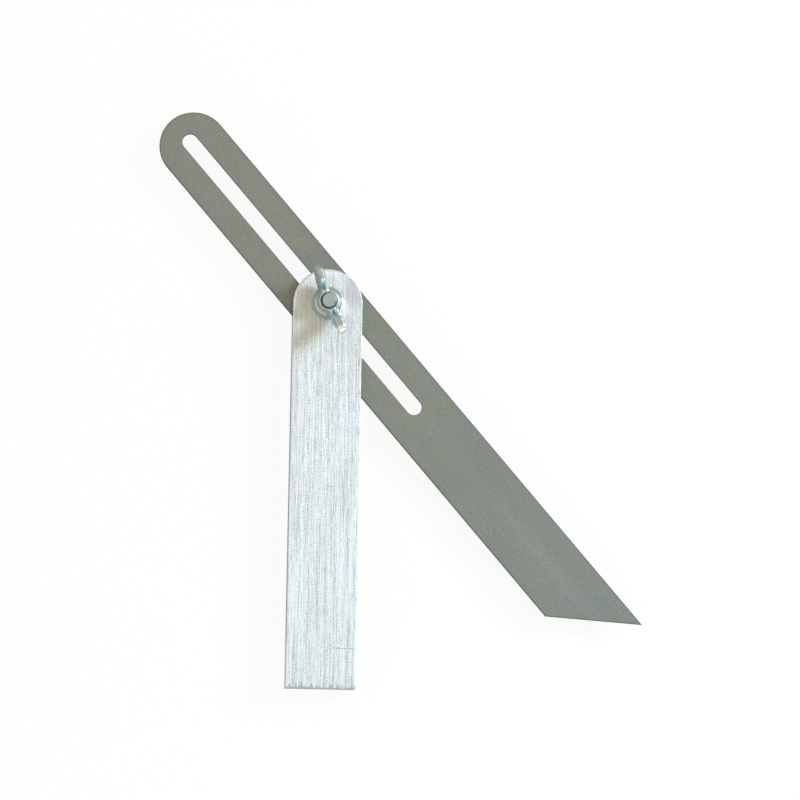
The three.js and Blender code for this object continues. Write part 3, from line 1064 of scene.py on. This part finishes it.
# Wear and painted light of the nut, in a frame whose X is along its wings. The wing along +X is the dull
# one, and the sides towards +Y lie away from the key lamp and carry painted shade.
NUT_EDGES_UNEVEN = 3 * MM
SLOPE_START_BAND = (4.2 * MM, 5.0 * MM)
SLOPE_END_BAND = (9.5 * MM, 8.2 * MM)
SLOPE_HEIGHT_BAND = (NUT_LOW.z + 3 * MM, NUT_LOW.z + 5 * MM)
SLOPE_ACROSS_BAND = (1.7 * MM, 1.1 * MM)
SLOPE_TINT = (1.02, 1.32, 1.46)
DULL_WING_BAND = (4.5 * MM, 5.5 * MM)
OTHER_WING_BAND = (-4.5 * MM, -5.5 * MM)
KNOB_BAND = (8 * MM, 9 * MM)
SHADED_SIDE_BAND = (0.9 * MM, 1.4 * MM)
LIT_SIDE_BAND = (-0.2 * MM, -0.7 * MM)
LIT_EDGE_BAND = (-0.8 * MM, -1.2 * MM)
TIP_HIGHLIGHT_BAND = (-WING_SPAN / 2 + 3.6 * MM, -WING_SPAN / 2 + 2.4 * MM)
# Painted shade and light for the wings' sides, and painted shade over the dull knob's lit edge.
DULL_FLANK_PAINTED_SHADE = (0.63, 0.71, 0.73)
DULL_FLANK_PAINTED_LIGHT = (1.5, 1.3, 1.2)
OTHER_FLANK_SHADED_TINT = (1.0, 1.14, 1.20)
KNOBS_TINT = (0.86, 0.79, 0.77)
DULL_KNOB_TINT = (0.95, 0.98, 0.93)
DULL_KNOB_SHADED_TINT = (1.20, 1.16, 1.18)
DULL_KNOB_EDGE_PAINTED_SHADE = (0.66, 0.66, 0.66)
DULL_KNOB_ROUGHNESS = (0.55, 0.55, 0.55)
# Painted highlight on the other wing's tip.
TIP_HIGHLIGHT_ZINC = (0.94, 0.96, 0.97)
TIP_HIGHLIGHT_ROUGHNESS = (0.30, 0.30, 0.30)


def zinc_plate(name, seed, tone, roughness, turn=0.0, worn=None):
    """Zinc plate with small stains. worn changes its colour and roughness for wear and for painted
    highlights and shade.
    """
    s = Surface(name, roughness, PIVOT, turn)
    stain = s.noise((ZINC_STAIN_SIZE,) * 3, detail=2, offset=(seed, 2 * seed, 3))
    speck = s.noise((ZINC_SPECK_SIZE,) * 3, detail=3, offset=(seed, 1, 5))
    s.base = tone
    s.tint(s.ramp(stain, ZINC_STAIN_STOPS))
    s.tint(s.ramp(speck, ZINC_SPECK_STOPS))
    rough = s.swing(speck, roughness, ZINC_ROUGHNESS_SWING)
    if worn:
        rough = worn(s, stain, rough)
    s.colour(s.base)
    s.rough(rough)
    s.bump(speck, depth=0.012 * MM, strength=0.5)
    return s.material


def washer_painted_highlight(s, _stain, rough):
    """A painted highlight on the right side of the washer, where the key lamp's glare falls."""
    s.cover(BRIGHT_ZINC, s.product(s.band(s.x, BRIGHT_RIGHT_BAND), s.band(s.y, BRIGHT_LOWER_BAND)))
    return rough


def nut_wear_and_painted_light(s, stain, rough):
    """The slopes to the wings are tinted blue and one wing is dull; painted shade and light lie on the
    wings' sides, and the other wing's tip carries a painted highlight.
    """
    uneven = s.uneven(stain, NUT_EDGES_UNEVEN)
    along = s.math("ADD", s.off(s.x), uneven)
    slopes = s.product(s.band(along, SLOPE_START_BAND), s.band(along, SLOPE_END_BAND))
    slopes = s.product(slopes, s.band(s.z, SLOPE_HEIGHT_BAND), s.band(s.off(s.y), SLOPE_ACROSS_BAND))
    s.tint(SLOPE_TINT, slopes)

    x = s.math("ADD", s.x, uneven)
    dull_wing = s.band(x, DULL_WING_BAND)
    dull_knob = s.band(x, KNOB_BAND)
    dull_flank = s.math("SUBTRACT", dull_wing, dull_knob)
    shaded_side = s.band(s.y, SHADED_SIDE_BAND)
    # Painted shade on the sides away from the key lamp, lifted again on the dull knob and tinted on the
    # other wing.
    s.tint(DULL_FLANK_PAINTED_SHADE, s.product(dull_wing, shaded_side))
    s.tint(DULL_KNOB_SHADED_TINT, s.product(dull_knob, shaded_side))
    s.tint(OTHER_FLANK_SHADED_TINT, s.product(s.band(x, OTHER_WING_BAND), shaded_side))
    # Painted light on the dull wing's side towards the key lamp.
    s.tint(DULL_FLANK_PAINTED_LIGHT, s.product(dull_flank, s.band(s.y, LIT_SIDE_BAND)))
    s.tint(KNOBS_TINT, s.band(s.off(x), KNOB_BAND))
    s.tint(DULL_KNOB_TINT, dull_knob)
    # Painted shade over the dull knob's edge towards the key lamp.
    s.tint(DULL_KNOB_EDGE_PAINTED_SHADE, s.product(dull_knob, s.band(s.y, LIT_EDGE_BAND)))
    rough = s.mix("MIX", dull_knob, rough, DULL_KNOB_ROUGHNESS)
    # Painted highlight: the other wing's tip is brighter and smoother.
    tip_highlight = s.band(x, TIP_HIGHLIGHT_BAND)
    s.cover(TIP_HIGHLIGHT_ZINC, tip_highlight)
    return s.mix("MIX", tip_highlight, rough, TIP_HIGHLIGHT_ROUGHNESS)


def dress(piece, body, nodes, materials):
    for material in materials:
        piece.data.materials.append(material)
    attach(piece, body)
    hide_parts(*nodes)


stock = make_stock()
dress(stock, "stock", ["stock"], stock_materials())
blade = make_blade()
dress(blade, "blade", ["blade"], [satin_steel(), sheared_steel()])
bolt = make_bolt()
bolt_plate = zinc_plate("zinc_bolt", seed=1.0, tone=(0.47, 0.56, 0.62), roughness=0.34)
dress(bolt, "carriage_bolt", ["carriage_bolt"], [bolt_plate])
washer = make_washer()
washer_plate = zinc_plate("zinc_washer", seed=4.0, tone=(0.41, 0.46, 0.45), roughness=0.45, worn=washer_painted_highlight)
dress(washer, "flat_washer", ["flat_washer"], [washer_plate])
nut = make_wing_nut()
nut_plate = zinc_plate("zinc_nut", seed=8.0, tone=(0.60, 0.65, 0.655), roughness=0.38, turn=WING_TURN,
                       worn=nut_wear_and_painted_light)
dress(nut, "wing_nut", ["wing_nut"], [nut_plate])


# Floor. Its glow keeps it white in the picture, and the rest still takes the tool's shadow.

FLOOR_SIZE = 8.0
FLOOR_COLOUR = (0.93, 0.93, 0.93, 1)
FLOOR_ROUGHNESS = 0.9
FLOOR_GLOW_SHARE = 0.90


def make_floor():
    bm = bmesh.new()
    bmesh.ops.create_grid(bm, x_segments=1, y_segments=1, size=FLOOR_SIZE / 2)
    floor = link("floor", bm)
    floor.location.z = BOLT_LOW.z
    material = bpy.data.materials.new("floor_white")
    material.use_nodes = True
    nodes, links = material.node_tree.nodes, material.node_tree.links
    shader = nodes["Principled BSDF"]
    shader.inputs["Base Color"].default_value = FLOOR_COLOUR
    shader.inputs["Roughness"].default_value = FLOOR_ROUGHNESS
    shader.inputs["Specular IOR Level"].default_value = 0.0
    glow = nodes.new("ShaderNodeEmission")
    ray = nodes.new("ShaderNodeLightPath")
    seen = ray.outputs["Is Camera Ray"]
    for kind in ("Is Glossy Ray", "Is Transmission Ray"):
        either = nodes.new("ShaderNodeMath")
        either.operation = "MAXIMUM"
        links.new(seen, either.inputs[0])
        links.new(ray.outputs[kind], either.inputs[1])
        seen = either.outputs[0]
    share = nodes.new("ShaderNodeMath")
    share.operation = "MULTIPLY"
    share.inputs[1].default_value = FLOOR_GLOW_SHARE
    links.new(seen, share.inputs[0])
    blend = nodes.new("ShaderNodeMixShader")
    links.new(share.outputs[0], blend.inputs[0])
    links.new(shader.outputs[0], blend.inputs[1])
    links.new(glow.outputs[0], blend.inputs[2])
    links.new(blend.outputs[0], nodes["Material Output"].inputs["Surface"])
    floor.data.materials.append(material)


# World. Levels are strengths of its light.

WORLD_COLOUR = (1.0, 0.93, 0.80, 1)
BRIGHT_WALL = Vector((-1, -0.1, 0)).normalized()
CEILING = Vector((0, 0, 1))
CEILING_LEVEL = 0.78
BACKDROP_LEVEL = 1.0


def make_world():
    """A soft warm white room: bright overhead, and dimmer low down to the right and behind."""
    world = bpy.data.worlds.new("room")
    world.use_nodes = True
    bpy.context.scene.world = world
    nodes, links = world.node_tree.nodes, world.node_tree.links
    background = nodes["Background"]
    background.inputs["Color"].default_value = WORLD_COLOUR
    direction = nodes.new("ShaderNodeTexCoord").outputs["Generated"]

    def grow(toward, nearness, levels=(0.0, 1.0)):
        """From the first level to the second as the direction's nearness to one goes over a range."""
        product = nodes.new("ShaderNodeVectorMath")
        product.operation = "DOT_PRODUCT"
        product.inputs[1].default_value = toward
        links.new(direction, product.inputs[0])
        node = nodes.new("ShaderNodeMapRange")
        node.interpolation_type = "SMOOTHSTEP"
        for name, value in zip(("From Min", "From Max", "To Min", "To Max"), (*nearness, *levels)):
            node.inputs[name].default_value = value
        links.new(product.outputs["Value"], node.inputs["Value"])
        return node.outputs["Result"]

    def choose(share, first, second_level):
        """From the first brightness at a share of 0 to a fixed level at 1."""
        node = nodes.new("ShaderNodeMix")
        links.new(share, node.inputs[MIX_FACTOR])
        links.new(first, node.inputs[MIX_NUMBER_INPUTS[0]])
        node.inputs[MIX_NUMBER_INPUTS[1]].default_value = second_level
        return node.outputs[MIX_NUMBER_OUTPUT]

    walls = grow(BRIGHT_WALL, nearness=(-0.1, 0.8), levels=(0.2, 1.0))
    room = choose(grow(CEILING, nearness=(0.25, 0.75)), walls, CEILING_LEVEL)
    seen = nodes.new("ShaderNodeLightPath").outputs["Is Camera Ray"]
    links.new(choose(seen, room, BACKDROP_LEVEL), background.inputs["Strength"])


def make_lamp(name, from_pivot, size, power, colour):
    """A square lamp that is placed from the pivot and turned towards it."""
    lamp = bpy.data.lights.new(name, "AREA")
    lamp.size = size
    lamp.energy = power
    lamp.color = colour
    place = PIVOT + from_pivot
    holder = bpy.data.objects.new(name, lamp)
    holder.location = place
    holder.rotation_euler = (PIVOT - place).to_track_quat("-Z", "Y").to_euler()
    bpy.context.scene.collection.objects.link(holder)


# Camera, as fitted to the photograph. Its lens and sensor are in millimetres.

CAMERA_TARGET = PIVOT + Vector((0.03255, -0.04091, 0))
CAMERA_PLACE = CAMERA_TARGET + Vector((-0.15017, -0.19744, 1.5))
CAMERA_ROLL = math.radians(0.964)
CAMERA_LENS = 157.33
CAMERA_SENSOR = 36
CAMERA_CLIP_END = 20


def make_camera():
    """The photograph's view: from high up, a little to the front left of the tool."""
    data = bpy.data.cameras.new("camera")
    data.sensor_width = CAMERA_SENSOR
    data.lens = CAMERA_LENS
    data.clip_end = CAMERA_CLIP_END
    back = (CAMERA_PLACE - CAMERA_TARGET).normalized()
    hint = Vector((-math.sin(CAMERA_ROLL), math.cos(CAMERA_ROLL), 0))
    right = hint.cross(back).normalized()
    up = back.cross(right)
    turn = Matrix((right, up, back)).transposed().to_4x4()
    camera = bpy.data.objects.new("camera", data)
    camera.matrix_world = Matrix.Translation(CAMERA_PLACE) @ turn
    bpy.context.scene.collection.objects.link(camera)
    bpy.context.scene.camera = camera


make_floor()
make_world()
make_lamp("key", Vector((2.60, 1.04, 1.68)), size=1.1, power=86.0, colour=(0.72, 0.91, 1.0))
make_lamp("front_fill", Vector((0.55, -1.2, 0.10)), size=0.8, power=8.0, colour=(1, 1, 1))
make_camera()
bpy.context.scene.view_settings.view_transform = "Standard"
